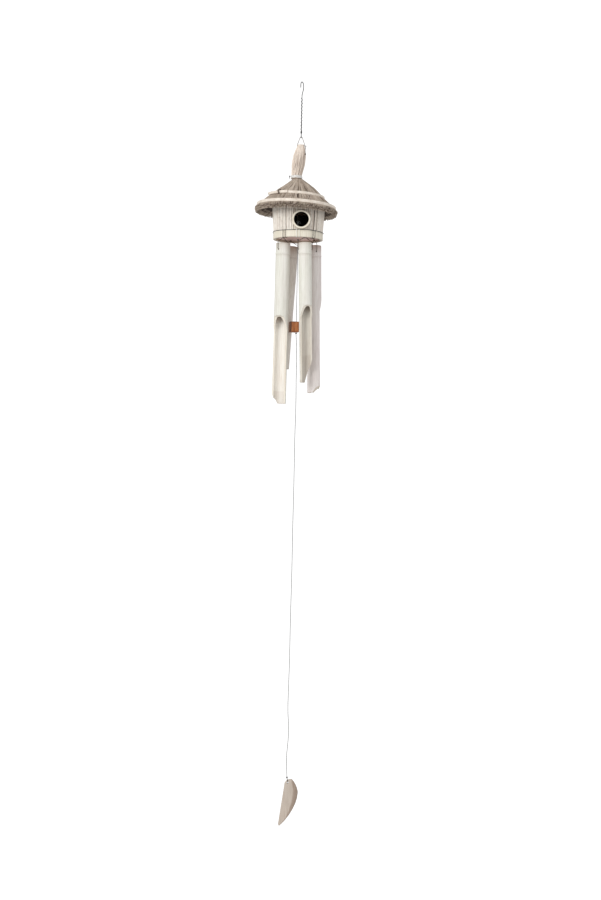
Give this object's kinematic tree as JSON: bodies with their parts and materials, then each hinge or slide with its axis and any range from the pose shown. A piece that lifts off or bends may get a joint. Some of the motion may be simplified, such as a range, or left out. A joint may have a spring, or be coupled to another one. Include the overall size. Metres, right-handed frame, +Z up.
{
  "type": "wind chime",
  "caption": "Bamboo wind chime on a wire hook: thatched bird house, cut bamboo tubes on cords, wooden striker on a line and a crescent sail below.",
  "frame": {"origin": "the inside of the hook's crown, where the support bears", "axes": "+Z up, along the hanging line; the entrance faces -Y; +X is to the right of a viewer who looks at the entrance"},
  "size_m": [0.1347, 0.1348, 1.1913],
  "materials": {
    "hook_steel": "dulled galvanised wire",
    "natural_cord": "thin natural cord",
    "tie_cord": "pale tying cord",
    "dark_cord": "dark tying cord",
    "thatch": "dry whitewashed grass",
    "cane": "whitewashed split cane",
    "raw_cane": "untreated split cane",
    "reed": "whitewashed split reed",
    "entrance_bamboo": "cream bamboo",
    "washed_bamboo": "whitewashed bamboo",
    "floor_bamboo": "thin pinkish wash",
    "dark_wire": "dark binding wire",
    "clear_line": "translucent monofilament",
    "striker_wood": "red-brown hardwood",
    "sail_bamboo": "weathered bamboo"
  },
  "bodies": {
    "hook": {"hook_wire": "hook_steel", "hook_wrap": "hook_steel", "hook_eye_binding": "hook_steel"},
    "hanger_loop": {"hanger_cord": "natural_cord"},
    "house": {"hanger_cord_tail": "natural_cord", "thatch_topknot": "thatch", "neck_tie": "tie_cord", "neck_tie_twist": "tie_cord", "thatch_roof": "thatch", "roof_hoop_upper": "cane", "roof_hoop_lower": "cane", "roof_frame_ring": "raw_cane", "roof_hoop_upper_end": "cane", "roof_hoop_tie": "dark_cord", "wall_reeds_front": "reed", "wall_reeds_right": "reed", "wall_reeds_back": "reed", "wall_reeds_left": "reed", "wall_hoop_upper": "raw_cane", "wall_hoop_lower": "raw_cane", "entrance_ring": "entrance_bamboo", "base_ring": "washed_bamboo", "floor_disc": "floor_bamboo", "floor_knots": "clear_line", "base_wire": "dark_wire", "base_tie_1": "natural_cord", "base_tie_2": "clear_line", "base_tie_3": "dark_cord"},
    "cord_1": {"tube_cord_1": "dark_cord"},
    "cord_2": {"tube_cord_2": "dark_cord"},
    "cord_3": {"tube_cord_3": "dark_cord"},
    "cord_4": {"tube_cord_4": "dark_cord"},
    "chime_1": {"tube_1": "washed_bamboo"},
    "chime_2": {"tube_2": "washed_bamboo"},
    "chime_3": {"tube_3": "washed_bamboo"},
    "chime_4": {"tube_4": "washed_bamboo"},
    "striker_pivot": {"striker_line_knot": "dark_cord"},
    "striker": {"striker_line": "clear_line", "striker_block": "striker_wood"},
    "sail_line_pivot": {"striker_stop_knot": "clear_line"},
    "sail_string": {"sail_line": "clear_line"},
    "sail_loop": {"sail_knot": "dark_cord"},
    "wind_sail": {"sail": "sail_bamboo"}
  },
  "joints": [
    {"name": "hanger_sway", "type": "hinge", "parent": "hook", "child": "hanger_loop", "pos_m": [0, 0, -0.0889], "axis": [0, 1, 0], "range_deg": [-25, 25]},
    {"name": "house_swing", "type": "hinge", "parent": "hanger_loop", "child": "house", "pos_m": [0, 0, -0.1023], "axis": [1, 0, 0], "range_deg": [-25, 25]},
    {"name": "cord_1_swing", "type": "hinge", "parent": "house", "child": "cord_1", "pos_m": [-0.02518, -0.0135, -0.2507], "axis": [0.788, -0.6157, 0], "range_deg": [-12, 1.5]},
    {"name": "chime_1_swing", "type": "hinge", "parent": "cord_1", "child": "chime_1", "pos_m": [-0.02518, -0.0135, -0.2705], "axis": [-0.6157, -0.788, 0], "range_deg": [-3, 3]},
    {"name": "cord_2_swing", "type": "hinge", "parent": "house", "child": "cord_2", "pos_m": [-0.01364, 0.02427, -0.2507], "axis": [-0.342, 0.9397, 0], "range_deg": [-3, 3]},
    {"name": "chime_2_swing", "type": "hinge", "parent": "cord_2", "child": "chime_2", "pos_m": [-0.01364, 0.02427, -0.2705], "axis": [0.9397, 0.342, 0], "range_deg": [-3, 30]},
    {"name": "cord_3_swing", "type": "hinge", "parent": "house", "child": "cord_3", "pos_m": [0.00961, -0.02447, -0.2507], "axis": [0.342, -0.9397, 0], "range_deg": [-3, 3]},
    {"name": "chime_3_swing", "type": "hinge", "parent": "cord_3", "child": "chime_3", "pos_m": [0.00961, -0.02447, -0.2705], "axis": [0.9397, 0.342, 0], "range_deg": [-30, 4]},
    {"name": "cord_4_swing", "type": "hinge", "parent": "house", "child": "cord_4", "pos_m": [0.02409, 0.00767, -0.2507], "axis": [0.9397, 0.342, 0], "range_deg": [-3, 3]},
    {"name": "chime_4_swing", "type": "hinge", "parent": "cord_4", "child": "chime_4", "pos_m": [0.02409, 0.00767, -0.2705], "axis": [0.342, -0.9397, 0], "range_deg": [-3, 30]},
    {"name": "striker_swing", "type": "hinge", "parent": "house", "child": "striker_pivot", "pos_m": [-0.0018, 0, -0.252], "axis": [1, 0, 0], "range_deg": [-4, 3.3]},
    {"name": "striker_sway", "type": "hinge", "parent": "striker_pivot", "child": "striker", "pos_m": [-0.0018, 0, -0.252], "axis": [0, -1, 0], "range_deg": [-1.8, 3.3]},
    {"name": "sail_line_swing", "type": "hinge", "parent": "striker", "child": "sail_line_pivot", "pos_m": [-0.0018, 0, -0.4019], "axis": [1, 0, 0], "range_deg": [-7, 7]},
    {"name": "sail_line_sway", "type": "hinge", "parent": "sail_line_pivot", "child": "sail_string", "pos_m": [-0.0018, 0, -0.4019], "axis": [0, -1, 0], "range_deg": [-7, 7]},
    {"name": "sail_twist", "type": "hinge", "parent": "sail_string", "child": "sail_loop", "pos_m": [-0.002, 0, -1.1121], "axis": [0, 0, 1], "range_deg": [-180, 180]},
    {"name": "sail_swing", "type": "hinge", "parent": "sail_loop", "child": "wind_sail", "pos_m": [-0.0006, 0, -1.12], "axis": [0, 1, 0], "range_deg": [-30, 45]}
  ]
}
